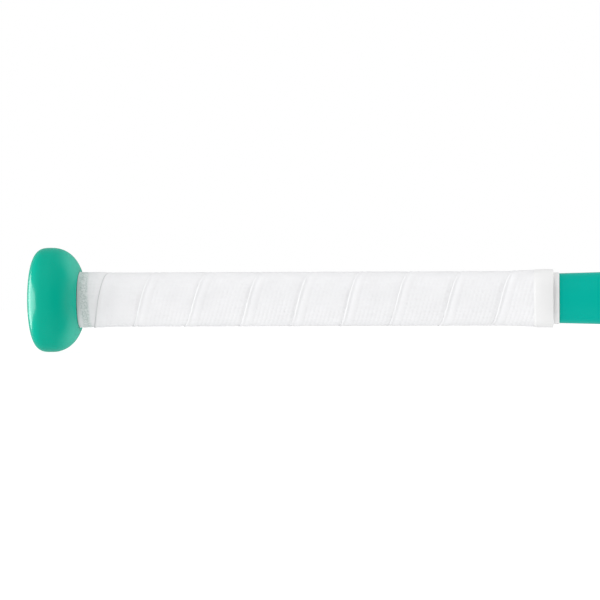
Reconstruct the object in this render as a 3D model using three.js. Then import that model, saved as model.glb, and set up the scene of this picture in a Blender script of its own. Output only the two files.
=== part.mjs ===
// A two-piece composite ball bat, lying along +X with its knob at the origin. Units are millimetres, +Z is up.
// Every round piece is a lathe with the same number of sides, turned so that a flat side faces down.

import * as THREE from "three";

// Overall size.
const LENGTH = 838; // 33 inches, knob face to end cap
const HANDLE_R = 11.1; // bare handle tube, 7/8 inch across
const BARREL_R = 28.575; // 2 1/4 inches across
const SIDES = 28; // sides of every round piece, and steps in each turn of the tape
const FIT = 0.2; // radial gap between pieces that are pressed or glued together

// Knob: a thick rounded ring with a recess for its cap.
const KNOB_R = 24.25;
const KNOB_FACE_X = 0.15; // its face lies a little behind its cap
const KNOB_CROWN_X = 10.3; // where the knob is widest
const KNOB_BACK_X = 25.2; // where its back curve would end
const KNOB_FACE_POWER = 3.4; // a higher power gives a squarer shoulder
const KNOB_BACK_POWER = 2.2;
const KNOB_BACK_DROP = 19.5; // how far the back curve would fall below the crown
const KNOB_NECK_R = 14.7; // where the back curve stops, at a flat end against the grip
const CAP_R = 8.5;
const CAP_DEPTH = 2.4;

// Handle tube: straight under the grip, then flaring into the spigot that the barrel wedges on.
const TUBE_START_X = 2.9;
const TUBE_WALL = 2.1;
const FLARE_START_X = 210;
const FLARE_LENGTH = 210;
const FLARE_GROWTH = 5.3;
const SPIGOT_END_X = 402;
const PLUG_LENGTH = 30;

// Joint between handle and barrel.
const COLLAR_START_X = 328;
const JOINT_X = 352; // where the barrel's nose starts
const SLEEVE_WALL = 0.8;
const COLLAR_LIP = 0.8;

// Barrel.
const NOSE_WALL = 1.6;
const TAPER_END_X = 560;
const BARREL_WALL = 2.4;
const BARREL_END_X = 824;
const INNER_START_X = 585;
const INNER_END_X = 800;
const INNER_WALL = 1.8;

// End cap.
const CAP_SPIGOT_LENGTH = 16;
const CAP_WALL = 2.5;
const CAP_RIM_OUTER_R = 23;
const CAP_RIM_INNER_R = 17.5;
const DISH_DEPTH = 3.6;
const DISH_FLOOR_R = 11;

// Grip tape: one strip wound in overlapping turns, its edges pared thin.
const TAPE_THICKNESS = 1.3;
const TAPE_EDGE = 0.35;
const TAPE_GAP = 0.15;
const PARE_LEAD = 2; // how far before the overlap the paring starts
const LEAST_WIDTH = 0.6; // of the strip, where it starts and stops
const LEAST_STEP = 0.01; // between points of its section
const OVERLAP = 4;
const TAPE_START_X = 23.5;
const TAPE_END_X = 242.6;
// Where the knob-side edge of each hand-wound turn crosses the underside of the handle. The first
// and last entries lie past the ends of the tape, where it is cut off square to the bat.
const TURN_EDGES = [8.5, 19.5, 29.9, 48, 72, 97.3, 120.7, 144, 166.2, 189.8, 213.6, 237.4, 261, 285];
const FRONT_LAG = 0.9; // how far each turn falls behind that curve on top of the handle

// Finishing tape: a narrow band round the end of the grip and the bare tube beyond it.
const BAND_START_X = 234.2;
const BAND_END_X = 245.8;
const BAND_THICKNESS = 0.3;

const finish = (color, roughness, metalness = 0) =>
  new THREE.MeshStandardMaterial({ color, roughness, metalness });
const teal = finish(0x04a892, 0.22);
const paleCap = finish(0xeef0f0, 0.4);
const tapeWhite = finish(0xeceded, 0.6);
const bandWhite = finish(0xf2f2f0, 0.45);
const darkRubber = finish(0x2b2f30, 0.7);
const foam = finish(0xd8d6cc, 0.9);
const bareComposite = finish(0x26292b, 0.45);

// Radius of the handle tube's outside at a distance along the bat.
const smooth = (t) => t * t * (3 - 2 * t);
const flare = (x) => THREE.MathUtils.clamp((x - FLARE_START_X) / FLARE_LENGTH, 0, 1);
const handleR = (x) => HANDLE_R + FLARE_GROWTH * smooth(flare(x));

// Radius of the barrel's throat, and of its outside from the nose to the full barrel.
const throatR = (x) => handleR(x) + FIT + SLEEVE_WALL + FIT;
const NOSE_R = throatR(JOINT_X) + NOSE_WALL;
const barrelR = (x) => {
  const t = THREE.MathUtils.clamp((x - JOINT_X) / (TAPER_END_X - JOINT_X), 0, 1);
  return NOSE_R + (BARREL_R - NOSE_R) * (1.5 * t - 0.5 * t ** 3);
};

// Points [x, radius] along a curve of radius, from one place to another.
const along = (from, to, steps, radius) =>
  Array.from({ length: steps + 1 }, (_, i) => {
    const x = from + ((to - from) * i) / steps;
    return [x, radius(x)];
  });

// A round piece from its closed outline of [x, radius] points, or an outline that ends on the axis.
function turned(name, material, outline) {
  const closed = outline.some(([, r]) => r === 0) ? outline : [...outline, outline[0]];
  const profile = closed.map(([x, r]) => new THREE.Vector2(r, x));
  const geometry = new THREE.LatheGeometry(profile, SIDES, Math.PI / SIDES);
  geometry.rotateZ(-Math.PI / 2);
  const mesh = new THREE.Mesh(geometry, material);
  mesh.name = name;
  return mesh;
}

function knob() {
  const quarter = (i, steps) => (i / steps) * (Math.PI / 2);
  const face = [];
  const back = [];
  for (let i = 2; i <= 9; i += 1) {
    const t = quarter(i, 9);
    const reach = 2 / KNOB_FACE_POWER;
    const x = THREE.MathUtils.lerp(KNOB_CROWN_X, KNOB_FACE_X, Math.cos(t) ** reach);
    face.push([x, KNOB_R * Math.sin(t) ** reach]);
  }
  for (let i = 1; i <= 10; i += 1) {
    const t = quarter(i, 12);
    const reach = 2 / KNOB_BACK_POWER;
    const r = KNOB_R - KNOB_BACK_DROP * (1 - Math.cos(t) ** reach);
    if (r < KNOB_NECK_R) break;
    back.push([KNOB_CROWN_X + (KNOB_BACK_X - KNOB_CROWN_X) * Math.sin(t) ** reach, r]);
  }
  const backEnd = TAPE_START_X - FIT;
  const boreR = HANDLE_R + FIT;
  return turned("knob", teal, [
    [CAP_DEPTH + FIT, CAP_R + FIT],
    [face[0][0] * 0.6, CAP_R + FIT],
    ...face,
    ...back,
    [backEnd, KNOB_NECK_R],
    [backEnd, boreR],
    [CAP_DEPTH + FIT, boreR],
  ]);
}

function knobCap() {
  const rounding = 0.3;
  return turned("knob_cap", teal, [
    [0, 0],
    [0, CAP_R - rounding],
    [rounding, CAP_R],
    [CAP_DEPTH, CAP_R],
    [CAP_DEPTH, 0],
  ]);
}

function handlePlug() {
  const r = HANDLE_R - TUBE_WALL - FIT;
  const from = TUBE_START_X + FIT;
  return turned("handle_plug", foam, [
    [from, 0],
    [from, r],
    [from + PLUG_LENGTH, r],
    [from + PLUG_LENGTH, 0],
  ]);
}

function handleTube() {
  const outside = [
    [TUBE_START_X, HANDLE_R],
    ...along(FLARE_START_X, SPIGOT_END_X, 16, handleR),
  ];
  const inside = along(SPIGOT_END_X, FLARE_START_X, 8, (x) => handleR(x) - TUBE_WALL);
  return turned("handle_tube", teal, [
    ...outside,
    ...inside,
    [TUBE_START_X, HANDLE_R - TUBE_WALL],
  ]);
}

// The rubber collar is a cone that brings the handle out to the barrel's nose.
function collar() {
  const to = JOINT_X - FIT;
  const boreR = (x) => handleR(x) + FIT;
  return turned("joint_collar", paleCap, [
    [COLLAR_START_X, boreR(COLLAR_START_X)],
    [COLLAR_START_X, boreR(COLLAR_START_X) + COLLAR_LIP],
    [to, NOSE_R],
    ...along(to, COLLAR_START_X, 4, boreR).slice(0, -1),
  ]);
}

// The elastomer sleeve keeps the handle's spigot off the barrel's throat.
function dampingSleeve() {
  const from = JOINT_X + FIT;
  const to = SPIGOT_END_X;
  const innerR = (x) => handleR(x) + FIT;
  return turned("damping_sleeve", darkRubber, [
    ...along(from, to, 6, (x) => innerR(x) + SLEEVE_WALL),
    ...along(to, from, 6, innerR),
  ]);
}

function barrelShell() {
  const full = BARREL_R - BARREL_WALL;
  const throat = along(SPIGOT_END_X, JOINT_X, 8, throatR);
  return turned("barrel_shell", teal, [
    ...along(JOINT_X, TAPER_END_X, 16, barrelR),
    [BARREL_END_X - FIT, BARREL_R],
    [BARREL_END_X - FIT, full],
    ...along(TAPER_END_X, SPIGOT_END_X + 16, 8, (x) => barrelR(x) - BARREL_WALL),
    ...throat,
  ]);
}

function innerSleeve() {
  const outer = BARREL_R - BARREL_WALL - FIT;
  return turned("inner_barrel_sleeve", bareComposite, [
    [INNER_START_X, outer],
    [INNER_END_X, outer],
    [INNER_END_X, outer - INNER_WALL],
    [INNER_START_X, outer - INNER_WALL],
  ]);
}

function endCap() {
  const spigotR = BARREL_R - BARREL_WALL - FIT;
  const inner = spigotR - CAP_WALL;
  const power = 2.4; // roundness of the rim
  const rim = [0.4, 0.65, 0.83, 0.95, 1].map((t) => [
    BARREL_END_X + (LENGTH - BARREL_END_X) * t,
    CAP_RIM_OUTER_R + (BARREL_R - CAP_RIM_OUTER_R) * (1 - t ** power) ** (1 / power),
  ]);
  const dish = [0, 0.2, 0.4, 0.6, 0.8, 1].map((t) => [
    LENGTH - DISH_DEPTH * smooth(t),
    CAP_RIM_INNER_R + (DISH_FLOOR_R - CAP_RIM_INNER_R) * t,
  ]);
  const roof = LENGTH - DISH_DEPTH - CAP_WALL;
  return turned("end_cap", paleCap, [
    [roof, 0],
    [roof, inner - CAP_WALL],
    [BARREL_END_X + CAP_WALL, inner],
    [BARREL_END_X - CAP_SPIGOT_LENGTH, inner],
    [BARREL_END_X - CAP_SPIGOT_LENGTH, spigotR],
    [BARREL_END_X, spigotR],
    [BARREL_END_X, BARREL_R],
    ...rim,
    ...dish,
    [LENGTH - DISH_DEPTH, 0],
  ]);
}

// Where the knob-side edge of the tape is, a number of turns on from the first entry of TURN_EDGES:
// a smooth curve through the entries, which it only falls behind between the whole turns.
function wrapEdge(turns) {
  const last = TURN_EDGES.length - 1;
  const i = Math.min(Math.floor(turns), last - 1);
  const at = (k) => TURN_EDGES[THREE.MathUtils.clamp(k, 0, last)];
  const lag = (FRONT_LAG * (1 - Math.cos(2 * Math.PI * turns))) / 2;
  return THREE.MathUtils.lerp(at(i), at(i + 1), turns - i) + bend(at, i, turns - i) - lag;
}

// What a Catmull-Rom curve adds to the straight line from entry i to the next.
function bend(at, i, t) {
  const slope = at(i + 1) - at(i);
  const before = (at(i + 1) - at(i - 1)) / 2 - slope;
  const after = (at(i + 2) - at(i)) / 2 - slope;
  return before * t * (1 - t) ** 2 - after * t ** 2 * (1 - t);
}

// The strip's section as two lines of [distance from the knob-side edge, height over the tube]. Its far
// edge is pared thin, because the next turn covers it, and its near edge rides up over the turn before.
function tapeSection(lap) {
  const width = lap + OVERLAP;
  const pared = (TAPE_THICKNESS - TAPE_EDGE) / (OVERLAP + PARE_LEAD);
  const rise = TAPE_THICKNESS - pared * PARE_LEAD + TAPE_GAP;
  const top = [
    [0, rise + TAPE_EDGE],
    [OVERLAP, TAPE_THICKNESS + TAPE_EDGE / 3],
    [OVERLAP + 3, TAPE_THICKNESS],
    [lap - PARE_LEAD, TAPE_THICKNESS],
    [width, TAPE_EDGE],
  ];
  const bottom = [
    [0, rise],
    [OVERLAP + 0.2, TAPE_EDGE + TAPE_GAP],
    [OVERLAP + 0.5, 0],
    [width, 0],
  ];
  return { width, top, bottom };
}

// The same line with every point moved in between first and last.
function cutLine(line, first, last) {
  return line.map(([across], i) => {
    const least = first + i * LEAST_STEP;
    const most = last - (line.length - 1 - i) * LEAST_STEP;
    const u = THREE.MathUtils.clamp(across, least, most);
    const k = Math.max(1, line.findIndex(([end]) => end >= u));
    const [[u0, h0], [u1, h1]] = [line[k - 1], line[k]];
    return [u, THREE.MathUtils.mapLinear(u, u0, u1, h0, h1)];
  });
}

// The grip tape: its section carried round the handle from the knob to the end of the grip.
function gripTape() {
  const positions = [];
  const rings = [];
  for (let step = 0; step <= (TURN_EDGES.length - 2) * SIDES; step += 1) {
    const angle = -Math.PI / 2 - ((step + 0.5) / SIDES) * 2 * Math.PI;
    const edge = wrapEdge(step / SIDES);
    const { width, top, bottom } = tapeSection(wrapEdge(step / SIDES + 1) - edge);
    const first = Math.max(0, TAPE_START_X - edge);
    const last = Math.min(width, TAPE_END_X - edge);
    if (last - first < LEAST_WIDTH) continue;
    const outline = [...cutLine(top, first, last), ...cutLine(bottom, first, last).reverse()];
    rings.push(outline);
    for (const [across, height] of outline) {
      const r = handleR(edge + across) + FIT + height;
      positions.push(edge + across, r * Math.cos(angle), r * Math.sin(angle));
    }
  }
  const geometry = new THREE.BufferGeometry();
  geometry.setAttribute("position", new THREE.Float32BufferAttribute(positions, 3));
  geometry.setIndex(skin(rings));
  const mesh = new THREE.Mesh(geometry, tapeWhite);
  mesh.name = "grip_tape";
  return mesh;
}

// Triangles between one ring of points and the next, and over both end rings.
function skin(rings) {
  const around = rings[0].length;
  const end = (rings.length - 1) * around;
  const index = [];
  for (let start = 0; start < end; start += around) {
    for (let i = 0; i < around; i += 1) {
      const [a, b] = [start + i, start + ((i + 1) % around)];
      index.push(a, b, a + around, b, b + around, a + around);
    }
  }
  const flat = (ring) => ring.map(([across, height]) => new THREE.Vector2(across, height));
  for (const [a, b, c] of THREE.ShapeUtils.triangulateShape(flat(rings[0]), [])) {
    index.push(a, b, c);
  }
  for (const [a, b, c] of THREE.ShapeUtils.triangulateShape(flat(rings.at(-1)), [])) {
    index.push(end + c, end + b, end + a);
  }
  return index;
}

// The finishing tape steps down from the end of the grip onto the bare tube.
function finishingTape() {
  const tallest = TAPE_THICKNESS + TAPE_EDGE + TAPE_GAP;
  const overGrip = (x) => handleR(x) + FIT + tallest;
  const overTube = (x) => handleR(x) + FIT;
  const outside = [
    [BAND_START_X, overGrip(BAND_START_X) + BAND_THICKNESS],
    [TAPE_END_X + FIT + BAND_THICKNESS, overGrip(TAPE_END_X) + BAND_THICKNESS],
    [TAPE_END_X + FIT + 2 * BAND_THICKNESS, overTube(TAPE_END_X) + BAND_THICKNESS],
    [BAND_END_X, overTube(BAND_END_X) + BAND_THICKNESS],
  ];
  const inside = [
    [BAND_END_X, overTube(BAND_END_X)],
    [TAPE_END_X + FIT + BAND_THICKNESS, overTube(TAPE_END_X)],
    [TAPE_END_X + FIT, overGrip(TAPE_END_X)],
    [BAND_START_X, overGrip(BAND_START_X)],
  ];
  return turned("finishing_tape", bandWhite, [...outside, ...inside]);
}

const bat = new THREE.Group();
bat.add(knob(), knobCap(), handlePlug(), handleTube(), gripTape(), finishingTape());
bat.add(collar(), dampingSleeve(), barrelShell(), innerSleeve(), endCap());
export default bat;
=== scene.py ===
"""A two-piece ball bat with a spiral-wrapped grip, on a white studio floor.

Lengths are in metres, in the CAD model's frame.
"""

import math

import bmesh
import bpy
import numpy as np
from mathutils import Matrix, Vector


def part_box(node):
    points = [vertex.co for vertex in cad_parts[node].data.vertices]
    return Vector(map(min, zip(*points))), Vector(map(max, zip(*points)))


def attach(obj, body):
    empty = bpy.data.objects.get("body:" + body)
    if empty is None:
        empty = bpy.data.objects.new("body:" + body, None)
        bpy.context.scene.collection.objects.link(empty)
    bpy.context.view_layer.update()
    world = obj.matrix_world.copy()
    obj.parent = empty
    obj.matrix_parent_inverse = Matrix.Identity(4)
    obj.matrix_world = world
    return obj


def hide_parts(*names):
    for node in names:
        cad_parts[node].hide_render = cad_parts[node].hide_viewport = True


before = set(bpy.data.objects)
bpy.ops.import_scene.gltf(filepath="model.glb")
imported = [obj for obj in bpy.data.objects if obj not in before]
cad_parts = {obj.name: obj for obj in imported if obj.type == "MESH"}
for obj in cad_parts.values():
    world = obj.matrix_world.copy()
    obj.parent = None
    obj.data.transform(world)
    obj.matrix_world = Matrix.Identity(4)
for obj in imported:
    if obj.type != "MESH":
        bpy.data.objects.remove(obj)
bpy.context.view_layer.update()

# ---- driving dimensions ------------------------------------------------------------------

SIDES = 28  # of the CAD model's round pieces, whose boxes measure across their flats
ROUND = 1 / math.cos(math.pi / SIDES)
SEGMENTS = 224  # of the round pieces made here
GAP = 0.0002  # the CAD model's gap between fitted pieces
TOUCH = 0.00004  # between the bat and the floor that it lies on


def start(node):
    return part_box(node)[0].x


def end(node):
    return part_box(node)[1].x


def radius(node):
    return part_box(node)[1].z * ROUND


HANDLE_R = 0.0111
FLARE_START = 0.210
FLARE_LENGTH = 0.210
FLARE_GROWTH = 0.0053
TUBE_WALL = 0.0021
SLEEVE_WALL = 0.0008
BARREL_WALL = 0.0024
NOSE_WALL = 0.0016
TAPER_END = 0.560
KNOB_CROWN = 0.0103
KNOB_R = radius("knob")
BARREL_R = radius("barrel_shell")
LENGTH = end("end_cap")
TAPE_START = start("grip_tape")
TAPE_END = end("grip_tape")
CAMERA_ROLL = -0.19  # degrees


def smooth(t):
    t = np.clip(t, 0.0, 1.0)
    return t * t * (3 - 2 * t)


def handle_r(x):
    """Radius of the handle tube's outside."""
    return HANDLE_R + FLARE_GROWTH * smooth((np.asarray(x) - FLARE_START) / FLARE_LENGTH)


def throat_r(x):
    """Radius of the barrel's throat, over the damping sleeve."""
    return handle_r(x) + GAP + SLEEVE_WALL + GAP


NOSE_R = float(throat_r(start("barrel_shell"))) + NOSE_WALL


def barrel_r(x):
    """Radius of the barrel's outside, from its nose to where it is full."""
    first = start("barrel_shell")
    t = np.clip((np.asarray(x) - first) / (TAPER_END - first), 0.0, 1.0)
    return NOSE_R + (BARREL_R - NOSE_R) * (1.5 * t - 0.5 * t**3)


# ---- mesh tools --------------------------------------------------------------------------


LEAST_CORNER = math.radians(25)  # flatter corners of an outline stay as they are
MOST_OF_SIDE = 0.45  # that a rounded corner may take
CORNER_POINTS = 6
SHARP_EDGE = math.radians(40)


def rounded(outline, fillet):
    """The closed outline with each sharp corner rounded, by less where a side is short."""
    points = [Vector(p) for p in outline]
    out = []
    for before, corner, after in zip(points[-1:] + points[:-1], points, points[1:] + points[:1]):
        a, b = before - corner, after - corner
        turn = math.pi - a.angle(b, math.pi)
        if corner.y <= 0 or turn < LEAST_CORNER:
            out.append(corner)
            continue
        room = min(MOST_OF_SIDE * a.length, MOST_OF_SIDE * b.length)
        reach = min(fillet * math.tan(turn / 2), room)
        p, q = corner + a.normalized() * reach, corner + b.normalized() * reach
        for i in range(CORNER_POINTS):
            t = i / (CORNER_POINTS - 1)
            out.append(p * (1 - t) ** 2 + corner * 2 * t * (1 - t) + q * t**2)
    return out


def add_object(name, verts, faces, material, node):
    mesh = bpy.data.meshes.new(name)
    mesh.from_pydata(verts, [], faces)
    bm = bmesh.new()
    bm.from_mesh(mesh)
    bmesh.ops.recalc_face_normals(bm, faces=bm.faces)
    bm.to_mesh(mesh)
    bm.free()
    mesh.shade_smooth()
    mesh.set_sharp_from_angle(angle=SHARP_EDGE)
    mesh.materials.append(material)
    piece = bpy.data.objects.new(name, mesh)
    bpy.context.scene.collection.objects.link(piece)
    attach(piece, "root")
    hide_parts(node)
    return piece


def turned(node, outline, material, fillet=0.0003):
    """A round piece from its closed outline of (x, radius) points, which may touch the axis."""
    points = rounded(outline, fillet)
    on_axis = [p.y <= 0 for p in points]
    rings, verts = [], []
    for p, pole in zip(points, on_axis):
        count = 1 if pole else SEGMENTS
        rings.append([len(verts) + k for k in range(count)])
        for k in range(count):
            turn = 2 * math.pi * k / SEGMENTS
            verts.append((p.x, p.y * math.cos(turn), p.y * math.sin(turn)))
    faces = []
    for ring, following in zip(rings, rings[1:] + rings[:1]):
        if len(ring) == 1 and len(following) == 1:
            continue
        for k in range(SEGMENTS):
            a, b = ring[k % len(ring)], ring[(k + 1) % len(ring)]
            c, d = following[(k + 1) % len(following)], following[k % len(following)]
            faces.append(tuple(dict.fromkeys((a, b, c, d))))
    return add_object(node + "_fine", verts, faces, material, node)


def curve(first, last, count, height):
    return [(x, float(height(x))) for x in np.linspace(first, last, count)]


# ---- materials ---------------------------------------------------------------------------


class Nodes:
    """A new material's node tree, with short ways to add and join nodes."""

    def __init__(self, name):
        self.material = bpy.data.materials.new(name)
        self.material.use_nodes = True
        self.tree = self.material.node_tree
        self.shader = self.tree.nodes["Principled BSDF"]
        self.place = self.add("ShaderNodeTexCoord").outputs["Object"]

    def add(self, kind, **settings):
        node = self.tree.nodes.new(kind)
        for key, value in settings.items():
            setattr(node, key, value)
        return node

    def set(self, **values):
        for key, value in values.items():
            self.shader.inputs[key.replace("_", " ")].default_value = value

    def join(self, output, socket):
        self.tree.links.new(output, socket)

    def noise(self, scale, detail=2.0, roughness=0.5):
        node = self.add("ShaderNodeTexNoise")
        node.inputs["Scale"].default_value = scale
        node.inputs["Detail"].default_value = detail
        node.inputs["Roughness"].default_value = roughness
        self.join(self.place, node.inputs["Vector"])
        return node.outputs["Fac"]

    def cells(self, scale):
        node = self.add("ShaderNodeTexVoronoi")
        node.inputs["Scale"].default_value = scale
        self.join(self.place, node.inputs["Vector"])
        return node.outputs["Distance"]

    def ramp(self, value, stops):
        node = self.add("ShaderNodeValToRGB")
        while len(node.color_ramp.elements) < len(stops):
            node.color_ramp.elements.new(0.5)
        for element, (place, color) in zip(node.color_ramp.elements, stops):
            element.position = place
            element.color = (*color, 1)
        self.join(value, node.inputs["Fac"])
        return node.outputs["Color"]

    def bump(self, height, distance, strength=1.0, under=None):
        node = self.add("ShaderNodeBump")
        node.inputs["Distance"].default_value = distance
        node.inputs["Strength"].default_value = strength
        self.join(height, node.inputs["Height"])
        if under is not None:
            self.join(under, node.inputs["Normal"])
        self.join(node.outputs["Normal"], self.shader.inputs["Normal"])
        return node.outputs["Normal"]


COAT_SMOOTHING = 0.7  # the clear coat's roughness for each part of the colour's


def paint(name, deep, light, roughness):
    """Sprayed teal lacquer under a clear coat: slight clouds of colour, faint waves of spray."""
    m = Nodes(name)
    m.join(m.ramp(m.noise(22, 3), [(0.35, deep), (0.65, light)]), m.shader.inputs["Base Color"])
    smoother, rougher = roughness * 0.92, roughness * 1.08
    rough = m.ramp(m.noise(60, 2), [(0.3, (smoother,) * 3), (0.7, (rougher,) * 3)])
    m.join(rough, m.shader.inputs["Roughness"])
    m.set(Specular_IOR_Level=0.0)
    m.set(Coat_Weight=0.5, Coat_Roughness=roughness * COAT_SMOOTHING, Coat_IOR=1.5)
    m.bump(m.noise(420, 1), 0.00001, 0.5)
    return m.material


KNOB_SHADE_MIDDLE = TAPE_START + 0.0033  # of the ring of painted shade and painted teal bounce beside the knob
KNOB_SHADE_SLANT = 0.07  # along the bat, for each unit of height
KNOB_SHADE_FULL = 0.0009  # painted shade full this near the middle, gone at the distance on the next line
KNOB_SHADE_GONE = 0.0028
# colour of the painted shade along the first wrap edge
EDGE_SHADE_COLOR = (0.52, 0.52, 0.53, 1)


def grip_leather():
    """Perforated synthetic leather: fine pebbled grain over the modelled holes.

    Beside the knob, round the start, a speckled grey-green ring is painted shade and painted teal
    bounce from the knob. The first wrap edge, which a mesh attribute marks, is darker with painted
    shade, standing in for the shadow at its step.
    """
    m = Nodes("grip_leather")
    plain = m.ramp(m.noise(90, 4), [(0.3, (0.733, 0.733, 0.744)), (0.7, (0.761, 0.761, 0.772))])
    # Painted shade and painted teal bounce from the knob: a darker, greener speckled ring beside
    # it.
    knob_shade_speckled = m.ramp(m.noise(1400, 3), [(0.35, (0.47, 0.53, 0.52)), (0.62, (0.68, 0.72, 0.71))])
    place = m.add("ShaderNodeSeparateXYZ")
    m.join(m.place, place.inputs[0])
    in_knob_shade = m.add("ShaderNodeMapRange", interpolation_type="SMOOTHSTEP")
    in_knob_shade.inputs["From Min"].default_value = KNOB_SHADE_GONE
    in_knob_shade.inputs["From Max"].default_value = KNOB_SHADE_FULL
    slanted = m.add("ShaderNodeMath", operation="MULTIPLY_ADD")
    m.join(place.outputs["Z"], slanted.inputs[0])
    slanted.inputs[1].default_value = KNOB_SHADE_SLANT
    m.join(place.outputs["X"], slanted.inputs[2])
    from_middle = m.add("ShaderNodeMath", operation="SUBTRACT")
    m.join(slanted.outputs[0], from_middle.inputs[0])
    from_middle.inputs[1].default_value = KNOB_SHADE_MIDDLE
    distance = m.add("ShaderNodeMath", operation="ABSOLUTE")
    m.join(from_middle.outputs[0], distance.inputs[0])
    m.join(distance.outputs[0], in_knob_shade.inputs["Value"])
    mix = m.add("ShaderNodeMix", data_type="RGBA")
    m.join(in_knob_shade.outputs["Result"], mix.inputs["Factor"])
    m.join(plain, mix.inputs["A"])
    m.join(knob_shade_speckled, mix.inputs["B"])
    # Painted shade: darker along the first wrap edge, where the mesh attribute marks it.
    edge_shade = m.add("ShaderNodeMix", data_type="RGBA")
    marked = m.add("ShaderNodeAttribute", attribute_name="edge_shade")
    m.join(marked.outputs["Fac"], edge_shade.inputs["Factor"])
    m.join(mix.outputs["Result"], edge_shade.inputs["A"])
    edge_shade.inputs["B"].default_value = EDGE_SHADE_COLOR
    m.join(edge_shade.outputs["Result"], m.shader.inputs["Base Color"])
    m.set(Roughness=0.55, Specular_IOR_Level=0.3)
    grain = m.bump(m.cells(2600), 0.00003, 0.5)
    m.bump(m.noise(900, 3), 0.00003, 0.4, under=grain)
    return m.material


def vinyl():
    """Thin stretched vinyl tape, very slightly uneven."""
    m = Nodes("band_vinyl")
    m.join(
        m.ramp(m.noise(140, 2), [(0.3, (0.74, 0.74, 0.74)), (0.7, (0.755, 0.755, 0.755))]),
        m.shader.inputs["Base Color"],
    )
    m.set(Roughness=0.42, Specular_IOR_Level=0.3)
    m.bump(m.noise(700, 1), 0.00002, 0.4)
    return m.material


def moulded(name, dark, light, roughness, grain):
    """Moulded polymer, rubber or foam with a fine grain."""
    m = Nodes(name)
    m.join(m.ramp(m.noise(160, 3), [(0.3, dark), (0.7, light)]), m.shader.inputs["Base Color"])
    m.set(Roughness=roughness, Specular_IOR_Level=0.35)
    m.bump(m.cells(grain), 0.00004, 0.5)
    return m.material


def woven_composite():
    """Bare carbon composite: fine dark tows on the diagonal, in satin resin."""
    m = Nodes("bare_composite")
    waves = m.add("ShaderNodeTexWave", bands_direction="DIAGONAL")
    waves.inputs["Scale"].default_value = 160
    waves.inputs["Distortion"].default_value = 1.0
    m.join(m.place, waves.inputs["Vector"])
    tows = m.ramp(waves.outputs["Fac"], [(0.2, (0.012, 0.013, 0.014)), (0.8, (0.04, 0.042, 0.045))])
    m.join(tows, m.shader.inputs["Base Color"])
    m.set(Roughness=0.35)
    m.bump(waves.outputs["Fac"], 0.00005, 0.4)
    return m.material


KNOB_TEAL = paint("knob_teal", (0.0, 0.335, 0.234), (0.0, 0.349, 0.245), 0.3)
SHAFT_TEAL = paint("shaft_teal", (0.0, 0.355, 0.284), (0.0, 0.367, 0.295), 0.2)
GRIP_WHITE = grip_leather()
BAND_WHITE = vinyl()
CAP_WHITE = moulded("cap_polymer", (0.48, 0.49, 0.49), (0.52, 0.53, 0.53), 0.4, 2200)
COLLAR_WHITE = moulded("collar_rubber", (0.63, 0.64, 0.64), (0.67, 0.68, 0.68), 0.5, 3000)
DARK_RUBBER = moulded("dark_rubber", (0.025, 0.025, 0.028), (0.035, 0.035, 0.038), 0.7, 3000)
PLUG_FOAM = moulded("plug_foam", (0.62, 0.6, 0.54), (0.72, 0.7, 0.64), 0.9, 1500)
COMPOSITE = woven_composite()


# ---- round pieces ------------------------------------------------------------------------


def knob():
    """Thick rounded ring: a squarish shoulder to the face, a long back that falls to the grip."""
    face_x, back_x, back_drop, neck_r = 0.00015, 0.0252, 0.0195, 0.0147
    face_power, back_power = 3.4, 2.2  # of the superellipses that the two sides follow
    face_reach, back_reach = 2 / face_power, 2 / back_power
    recess_r = radius("knob_cap") + GAP
    recess_x = end("knob_cap") + GAP
    face_turn = np.radians(np.linspace(10.5, 90, 56))  # from the face's flat to the crown
    back_turn = np.radians(np.linspace(1.5, 61.5, 44))  # from the crown to the grip
    face, back = [], []
    for t in face_turn:
        x = KNOB_CROWN + (face_x - KNOB_CROWN) * math.cos(t) ** face_reach
        face.append((x, KNOB_R * math.sin(t) ** face_reach))
    for t in back_turn:
        r = KNOB_R - back_drop * (1 - math.cos(t) ** back_reach)
        back.append((KNOB_CROWN + (back_x - KNOB_CROWN) * math.sin(t) ** back_reach, r))
    bore_r = HANDLE_R + GAP
    outline = [
        (face[0][0], recess_r),
        *face[1:],
        *back,
        (end("knob"), neck_r),
        (end("knob"), bore_r),
        (recess_x, bore_r),
        (recess_x, recess_r),
    ]
    turned("knob", outline, KNOB_TEAL, fillet=0.0002)


def knob_cap():
    r, depth = radius("knob_cap"), end("knob_cap")
    outline = [(0, 0), (0, r), (depth, r), (depth, 0)]
    turned("knob_cap", outline, KNOB_TEAL, fillet=0.0004)


def handle_plug():
    first, last, r = start("handle_plug"), end("handle_plug"), radius("handle_plug")
    outline = [(first, 0), (first, r), (last, r), (last, 0)]
    turned("handle_plug", outline, PLUG_FOAM, fillet=0.0006)


def handle_tube():
    first, last = start("handle_tube"), end("handle_tube")
    outline = [
        (first, HANDLE_R),
        *curve(FLARE_START, last, 60, handle_r),
        *curve(last, FLARE_START, 60, lambda x: handle_r(x) - TUBE_WALL),
        (first, HANDLE_R - TUBE_WALL),
    ]
    turned("handle_tube", outline, SHAFT_TEAL, fillet=0.0004)


def joint_collar():
    first, last = start("joint_collar"), end("joint_collar")
    thin_end = 0.0008
    outline = [
        (first, handle_r(first) + GAP + thin_end),
        (last, radius("joint_collar")),
        *curve(last, first, 12, lambda x: handle_r(x) + GAP),
    ]
    turned("joint_collar", outline, COLLAR_WHITE, fillet=0.0005)


def damping_sleeve():
    first, last = start("damping_sleeve"), end("damping_sleeve")
    outline = [
        *curve(first, last, 24, lambda x: handle_r(x) + GAP + SLEEVE_WALL),
        *curve(last, first, 24, lambda x: handle_r(x) + GAP),
    ]
    turned("damping_sleeve", outline, DARK_RUBBER, fillet=0.0002)


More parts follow.
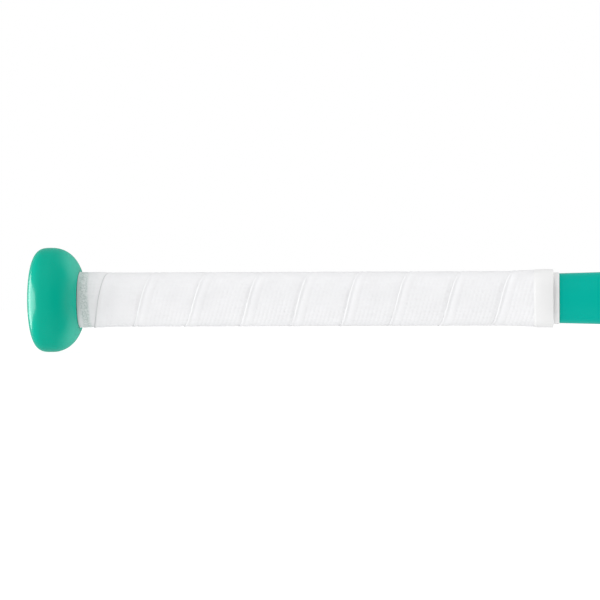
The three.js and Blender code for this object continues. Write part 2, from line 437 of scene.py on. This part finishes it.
def barrel_shell():
    first, last = start("barrel_shell"), end("barrel_shell")
    throat_end = end("damping_sleeve")
    run_in = 0.016  # from the throat's bore to the barrel's
    outline = [
        *curve(first, TAPER_END, 96, barrel_r),
        (last, BARREL_R),
        (last, BARREL_R - BARREL_WALL),
        *curve(TAPER_END, throat_end + run_in, 32, lambda x: barrel_r(x) - BARREL_WALL),
        *curve(throat_end, first, 24, throat_r),
    ]
    turned("barrel_shell", outline, SHAFT_TEAL, fillet=0.0005)


def inner_sleeve():
    node = "inner_barrel_sleeve"
    first, last, outer = start(node), end(node), radius(node)
    wall = 0.0018
    outline = [(first, outer), (last, outer), (last, outer - wall), (first, outer - wall)]
    turned(node, outline, COMPOSITE, fillet=0.0004)


def end_cap():
    """Moulded cap: a glued spigot, a rounded rim, and a shallow dish in its face."""
    rim_x = end("barrel_shell") + GAP
    spigot_r = BARREL_R - BARREL_WALL - GAP
    wall, dish_depth, power = 0.0025, 0.0036, 2.4
    rim_outer, rim_inner, floor_r = 0.023, 0.0175, 0.011
    rim = []
    for t in np.linspace(0.1, 1, 32):
        r = rim_outer + (BARREL_R - rim_outer) * (1 - t**power) ** (1 / power)
        rim.append((rim_x + (LENGTH - rim_x) * t, r))
    dish = []
    for t in np.linspace(0, 1, 24):
        r = rim_inner + (floor_r - rim_inner) * t
        dish.append((LENGTH - dish_depth * float(smooth(t)), r))
    roof = LENGTH - dish_depth - wall
    first = start("end_cap")
    outline = [
        (roof, 0),
        (roof, spigot_r - 2 * wall),
        (rim_x + wall, spigot_r - wall),
        (first, spigot_r - wall),
        (first, spigot_r),
        (rim_x, spigot_r),
        (rim_x, BARREL_R),
        *rim,
        *dish,
        (LENGTH - dish_depth, 0),
    ]
    turned("end_cap", outline, CAP_WHITE, fillet=0.0006)


# ---- grip tape ---------------------------------------------------------------------------

TAPE_THICKNESS = 0.0013
TAPE_EDGE = 0.00035  # thickness of its pared edges
TAPE_CLEAR = 0.00008  # between a turn and the one that it overlaps
OVERLAP = 0.004
RIDE_MARGIN = 0.0002
RIDE = OVERLAP + RIDE_MARGIN  # how much of a turn rides on the one before
RIDE_STEP = 0.0003  # the run from there down to the tube
PARE_LEAD = 0.002  # a turn's far edge gets thinner from this far before the next turn
PARE_DROP = 0.0002  # by this much, up to where the next turn covers it
LEAST_WIDTH = 0.0006  # narrower rings at the strip's two ends are left out
LEAST_STEP = 0.000004  # between the points of a ring that is cut short
UNDER_POINTS = (0, 0.0021, 0.0042, 0.0045, 0.013, 0.03)  # across the underside
# Where the knob-side edge of each hand-wound turn crosses the underside, as the CAD model has it.
TURN_EDGES = [
    0.0085, 0.0195, 0.0299, 0.048, 0.072, 0.0973, 0.1207,
    0.144, 0.1662, 0.1898, 0.2136, 0.2374, 0.261, 0.285,
]  # fmt: skip

TOP_LAG = 0.0009  # how far each turn falls behind that curve on top of the handle
START_SWELL = 0.0003
START_SWELL_FLAT, START_SWELL_FALL = 0.007, 0.012
END_SWELL = 0.0003
END_SWELL_LENGTH, END_SWELL_RISE = 0.024, 0.016

# Height, place from the knob-side edge, and width of the lip raised where a turn rides on the
# last one, of the line pressed beside it, and of the last turn's edge, which shows through.
TAPE_RIDGES = ((0.00009, 0.0006, 0.0005), (-0.00007, 0.0017, 0.0006), (0.00007, 0.0036, 0.0010))
EDGE_ROUND_DEPTH, EDGE_ROUND_WIDTH = 0.00007, 0.0003
GROOVE_DEPTH, GROOVE_WIDTH = 0.00022, 0.0004
GROOVE_X = TAPE_START + 0.0040
# width of the painted shade along the first wrap edge
EDGE_SHADE_WIDTH = 0.0005

HOLE_PITCH = 0.0019  # of the perforation, across the strip
HOLES_PER_TURN = 43
HOLE_DEPTH = 0.00017
HOLE_MARGIN = 0.0008  # without holes, where the strip is cut square at its start
HOLE_FAR_MARGIN = OVERLAP + 0.0005  # without holes, along its far edge
HOLE_SPREAD = (0.32, 0.5, 0.68)  # where a hole's rim, middle and rim lie in its cell
LIP_WIDTH = 0.0044  # the plain pressed margin along the knob-side edge
HOLE_ROWS = 13


def wrap_edge(turns):
    """Where the knob-side edge is: a Catmull-Rom curve through TURN_EDGES, less the lag."""
    last = len(TURN_EDGES) - 1
    i = np.minimum(np.floor(turns).astype(int), last - 1)
    t = turns - i
    edges = np.array(TURN_EDGES)
    before, here, there, after = (edges[np.clip(i + k, 0, last)] for k in (-1, 0, 1, 2))
    slope = there - here
    bend_in = ((there - before) / 2 - slope) * t * (1 - t) ** 2
    bend_out = ((after - here) / 2 - slope) * t**2 * (1 - t)
    bend = bend_in - bend_out
    lag = TOP_LAG * (1 - np.cos(2 * np.pi * turns)) / 2
    return here + slope * t + bend - lag


def bell(u, middle, width):
    return np.exp(-(((u - middle) / width) ** 2))


def swell(x):
    """Extra height where the tape is laid double at its start, and over the glue at its end."""
    past_flat = smooth((x - TAPE_START - START_SWELL_FLAT) / START_SWELL_FALL)
    at_end = smooth((x - TAPE_END + END_SWELL_LENGTH) / END_SWELL_RISE)
    return START_SWELL * (1 - past_flat) + END_SWELL * at_end


def top_height(u, lap):
    """Height of the strip's outside over the tube, at u from its knob-side edge."""
    h = TAPE_THICKNESS
    for height, middle, width in TAPE_RIDGES:
        h = h + height * bell(u, middle, width)
    h = h - EDGE_ROUND_DEPTH * np.clip(1 - u / EDGE_ROUND_WIDTH, 0, 1) ** 2
    h = h - PARE_DROP * np.clip((u - lap) / PARE_LEAD + 1, 0, 1)
    return h - (TAPE_THICKNESS - PARE_DROP - TAPE_EDGE) * np.clip((u - lap) / OVERLAP, 0, None)


def under_height(u):
    """Height of the strip's inside over the tube, at u from its knob-side edge."""
    rise = TAPE_THICKNESS - PARE_DROP + TAPE_CLEAR
    over_last_turn = rise + (TAPE_EDGE + TAPE_CLEAR - rise) * np.clip(u / RIDE, 0, 1)
    off_its_edge = np.clip((u - RIDE) / RIDE_STEP, 0, 1)
    return over_last_turn * (1 - off_its_edge)


def ring_angles():
    """Where the rings of points along the strip are, in turns: three to a column of holes."""
    columns = np.arange(HOLES_PER_TURN)[:, None] + np.array(HOLE_SPREAD)[None, :]
    turns = columns.ravel() / HOLES_PER_TURN
    return np.concatenate([turns + k for k in range(len(TURN_EDGES) - 2)])


def across_points():
    """The points across the strip's outside, and how many of them are in its plain margin."""
    lip = LIP_WIDTH * np.array([0, 0.03, 0.07, 0.13, 0.2, 0.29, 0.38, 0.48, 0.58, 0.68, 0.79, 0.9])
    cells = np.arange(HOLE_ROWS)[:, None] + np.array(HOLE_SPREAD)[None, :]
    rows = LIP_WIDTH + cells * HOLE_PITCH
    return np.concatenate([lip, rows.ravel(), [LIP_WIDTH + HOLE_ROWS * HOLE_PITCH]]), len(lip)


def grip_tape():
    """The wound strip: a ring of points across it at each angle, joined along its length."""
    turns = ring_angles()
    top_u, lip_count = across_points()
    under_u = np.array(UNDER_POINTS)
    edge = wrap_edge(turns)
    lap = wrap_edge(turns + 1) - edge
    width = lap + OVERLAP
    first = np.maximum(0, TAPE_START - edge)
    last = np.minimum(width, TAPE_END - edge)
    kept = last - first > LEAST_WIDTH
    turns, edge, lap, first, last = (values[kept] for values in (turns, edge, lap, first, last))

    def cut(u):
        """The same points for every ring, moved in between its first and last."""
        step = np.arange(len(u)) * LEAST_STEP
        return np.clip(u[None, :], first[:, None] + step, last[:, None] - step[::-1])

    angle = -math.pi / 2 - turns * 2 * math.pi
    along_strip = turns[:, None] * 2 * math.pi * HANDLE_R
    u = cut(top_u)
    h = top_height(u, lap[:, None])

    # Hand-wound strips are never quite even: the lip wanders, and the leather puckers a little.
    # What multiplies a length is in radians per metre, and what is added only shifts the waves.
    wander, pucker, fine_pucker = 0.00003, 0.00003, 0.00002
    h += wander * np.sin(along_strip * 230 + 1.3) * bell(u, 0.0010, 0.0012)
    h += pucker * np.sin(along_strip * 95 + u * 310) * np.sin(u * 190 + 0.7)
    h += fine_pucker * np.sin(along_strip * 410 - u * 530 + 2.1)

    # Under the finishing tape the strip is pressed level.
    x = edge[:, None] + u
    press_lead = 0.001
    under_band = smooth((x - start("finishing_tape") + press_lead) / press_lead)
    h += (TAPE_THICKNESS - h) * under_band * (u < lap[:, None] - PARE_LEAD)
    h += swell(x)

    # The first turn is laid square to the bat, and its edge shows through as a fine groove.
    h -= GROOVE_DEPTH * bell(x, GROOVE_X, GROOVE_WIDTH)

    # Perforation: a hole in the middle of each cell, but not in the pressed margins.
    is_row = np.zeros(len(top_u), bool)
    is_row[lip_count + 1 : lip_count + 3 * HOLE_ROWS : 3] = True
    is_middle = np.arange(len(kept))[kept] % len(HOLE_SPREAD) == 1
    holes = is_middle[:, None] & is_row[None, :]
    clear = (u - first[:, None] > HOLE_MARGIN) & (last[:, None] - u > HOLE_FAR_MARGIN)
    h -= HOLE_DEPTH * (holes & clear)

    under = cut(under_u)[:, ::-1]
    u_all = np.hstack([u, under])
    x_all = edge[:, None] + u_all
    riding = np.clip((RIDE - under) / RIDE_MARGIN, 0, 1)
    h_all = np.hstack([h, under_height(under) + riding * swell(edge[:, None] + under)])
    r_all = handle_r(x_all) + GAP + h_all
    y_all, z_all = r_all * np.cos(angle)[:, None], r_all * np.sin(angle)[:, None]
    verts = np.stack([x_all, y_all, z_all], axis=2).reshape(-1, 3).tolist()
    rings, around = r_all.shape
    index = np.arange(rings * around).reshape(rings, around)
    following = np.roll(index, -1, axis=1)
    quads = np.stack([index[:-1], following[:-1], following[1:], index[1:]], axis=2).reshape(-1, 4)
    faces = quads.tolist() + [index[0].tolist(), index[-1][::-1].tolist()]
    tape = add_object("grip_tape_fine", verts, faces, GRIP_WHITE, "grip_tape")

    # Painted shade along the first edge that shows past the knob, standing in for the shadow at its
    # step, for the material to darken.
    is_first_edge = (turns >= 2) & (turns < 3)
    edge_shade_strength = bell(u, 0, EDGE_SHADE_WIDTH) * is_first_edge[:, None]
    edge_shade = np.hstack([edge_shade_strength, np.zeros_like(under)])
    tape.data.attributes.new("edge_shade", "FLOAT", "POINT").data.foreach_set("value", edge_shade.ravel())


def finishing_tape():
    """Narrow vinyl tape over the end of the grip, made as one closed ring.

    It is one layer thick along its two edges and two layers between them, and a small step
    across it shows where its outer end is stuck down.
    """
    clearance = 0.00003  # between the grip and this tape
    over_grip = GAP + TAPE_THICKNESS + END_SWELL + clearance
    layer = 0.0001
    first, last = start("finishing_tape"), end("finishing_tape")
    step_x = TAPE_END + GAP + 2 * layer
    inset = 0.0005  # of the second layer
    inset_end = inset * 1.2

    def level(x, over, layers):
        return (x, float(handle_r(x)) + over + layers * layer)

    outline = [
        level(first, over_grip, 1),
        level(first + inset, over_grip, 1),
        level(first + inset_end, over_grip, 2),
        level(step_x - inset, over_grip, 2),
        level(step_x, over_grip - layer * 2, 2),
        level(step_x + 2 * layer, GAP, 2),
        level(last - inset_end, GAP, 2),
        level(last - inset, GAP, 1),
        level(last, GAP, 1),
        level(last, GAP, 0),
        level(step_x, GAP, 0),
        level(TAPE_END + GAP, over_grip, 0),
        level(first, over_grip, 0),
    ]
    band = turned("finishing_tape", outline, BAND_WHITE, fillet=0.00012)
    end_at = math.radians(-150)  # where the outer end of the tape is stuck down
    step_run = 0.012  # of a turn
    step_height = 0.8  # of a layer
    outside = 0.6  # of a layer over the inside, from where a point belongs to the outside
    for v in band.data.vertices:
        turn = ((math.atan2(v.co.z, v.co.y) - end_at) / (2 * math.pi)) % 1
        r = math.hypot(v.co.y, v.co.z)
        grow = layer * float(smooth(turn / step_run)) * (1 - turn) * step_height
        inner = float(handle_r(v.co.x)) + (over_grip if v.co.x < TAPE_END else GAP)
        if r > inner + layer * outside:
            v.co.y *= (r + grow) / r
            v.co.z *= (r + grow) / r


knob()
knob_cap()
handle_plug()
handle_tube()
joint_collar()
damping_sleeve()
barrel_shell()
inner_sleeve()
end_cap()
grip_tape()
finishing_tape()


# ---- studio ------------------------------------------------------------------------------


FLOOR_REACH = 4


def floor():
    """White floor that the knob's crown and the barrel both touch. Only the camera sees it."""
    taper = np.linspace(KNOB_CROWN, TAPER_END, 400)[200:]
    knob_low = -KNOB_R
    slope = float(((-barrel_r(taper) - knob_low) / (taper - KNOB_CROWN)).min())
    verts = []
    for x_side, y_side in ((-1, -1), (1, -1), (1, 1), (-1, 1)):
        x, y = x_side * FLOOR_REACH, y_side * FLOOR_REACH
        verts.append((x, y, knob_low - TOUCH + slope * (x - KNOB_CROWN)))
    mesh = bpy.data.meshes.new("floor")
    mesh.from_pydata(verts, [], [(0, 1, 2, 3)])
    mesh.materials.append(floor_material())
    plane = bpy.data.objects.new("floor", mesh)
    bpy.context.scene.collection.objects.link(plane)
    plane.visible_glossy = False
    plane.visible_diffuse = False
    plane.visible_shadow = False


def floor_material():
    """Board that glows nearly white, as a product table lit from below does."""
    m = Nodes("floor_board")
    board = m.ramp(m.noise(3, 2), [(0.0, (0.19,) * 3), (1.0, (0.21,) * 3)])
    m.join(board, m.shader.inputs["Base Color"])
    m.set(Roughness=0.9, Specular_IOR_Level=0.0, Emission_Strength=0.86)
    m.shader.inputs["Emission Color"].default_value = (1, 1, 1, 1)
    return m.material


# The studio's light by direction: from above and below, and lobes of
# (azimuth in degrees left of the front, power, strength).
WORLD_UPRIGHT = 1.48
WORLD_LOBES = [(35, 2, 0.85), (68, 8, 4.9), (-92, 8, 3.8), (-112, 8, 2.5)]
# What the gloss mirrors beside the softbox: little in front, half white behind the bat, and
# bright card in the right rear corners.
GLOSS_FRONT = 0.04
GLOSS_BEHIND = 0.5
GLOSS_CORNERS = 11.0


def softbox(name, place, target, size, watts):
    """A soft light that only the gloss shows: the world lights the matt surfaces."""
    data = bpy.data.lights.new(name, "AREA")
    data.shape = "RECTANGLE"
    data.size, data.size_y = size
    data.energy = watts
    box = bpy.data.objects.new(name, data)
    box.location = place
    box.rotation_euler = (Vector(target) - Vector(place)).to_track_quat("-Z", "Y").to_euler()
    box.visible_camera = False
    box.visible_diffuse = False
    bpy.context.scene.collection.objects.link(box)


def white_world():
    """White to the camera, a tent of light with brighter sides to matt surfaces, and mostly
    dark to the gloss."""
    world = bpy.data.worlds.new("studio")
    world.use_nodes = True
    tree = world.node_tree
    background = tree.nodes["Background"]
    background.inputs["Color"].default_value = (1, 1, 1, 1)

    def math_node(operation, *values):
        node = tree.nodes.new("ShaderNodeMath")
        node.operation = operation
        for socket, value in zip(node.inputs, values):
            if isinstance(value, (int, float)):
                socket.default_value = value
            else:
                tree.links.new(value, socket)
        return node.outputs[0]

    def above_zero(value):
        return math_node("MAXIMUM", value, 0.0)

    direction = tree.nodes.new("ShaderNodeTexCoord").outputs["Generated"]
    parts = tree.nodes.new("ShaderNodeSeparateXYZ")
    tree.links.new(direction, parts.inputs[0])
    x, y, z = parts.outputs
    light = math_node("MULTIPLY", math_node("MULTIPLY", z, z), WORLD_UPRIGHT)
    for azimuth, power, strength in WORLD_LOBES:
        turn = math.radians(azimuth)
        toward = math_node("MULTIPLY", y, -math.cos(turn))
        toward = math_node("MULTIPLY_ADD", x, -math.sin(turn), toward)
        lobe = math_node("POWER", above_zero(toward), power)
        light = math_node("MULTIPLY_ADD", lobe, strength, light)
    behind = math_node("POWER", above_zero(y), 2.0)
    behind = math_node("MULTIPLY_ADD", behind, GLOSS_BEHIND, GLOSS_FRONT)
    right_rear = math_node("MULTIPLY", math_node("POWER", above_zero(x), 2.0), above_zero(y))
    corners = math_node("MULTIPLY", right_rear, math_node("ABSOLUTE", z))
    mirrored = math_node("MULTIPLY_ADD", corners, GLOSS_CORNERS, behind)
    path = tree.nodes.new("ShaderNodeLightPath")
    change = math_node("SUBTRACT", mirrored, light)
    change = math_node("MULTIPLY", path.outputs["Is Glossy Ray"], change)
    light = math_node("ADD", light, change)
    light = math_node("MAXIMUM", light, path.outputs["Is Camera Ray"])
    tree.links.new(light, background.inputs["Strength"])
    bpy.context.scene.world = world


def camera():
    """Level telephoto view from beside the bare tube, turned a few degrees towards the knob."""
    place, target = Vector((0.246, -1.625, 0)), Vector((0.126, 0, -0.00043))
    data = bpy.data.cameras.new("camera")
    data.sensor_width = 36
    data.lens = 211.1
    view = bpy.data.objects.new("camera", data)
    turn = (target - place).to_track_quat("-Z", "Y").to_matrix().to_4x4()
    roll = Matrix.Rotation(math.radians(CAMERA_ROLL), 4, "Z")
    view.matrix_world = Matrix.Translation(place) @ turn @ roll
    bpy.context.scene.collection.objects.link(view)
    bpy.context.scene.camera = view


floor()
white_world()
softbox("left_softbox", (-0.93, 0.0, -0.04), (0.01, 0, 0), (1.85, 0.68), 31)
camera()
bpy.context.scene.view_settings.view_transform = "Standard"
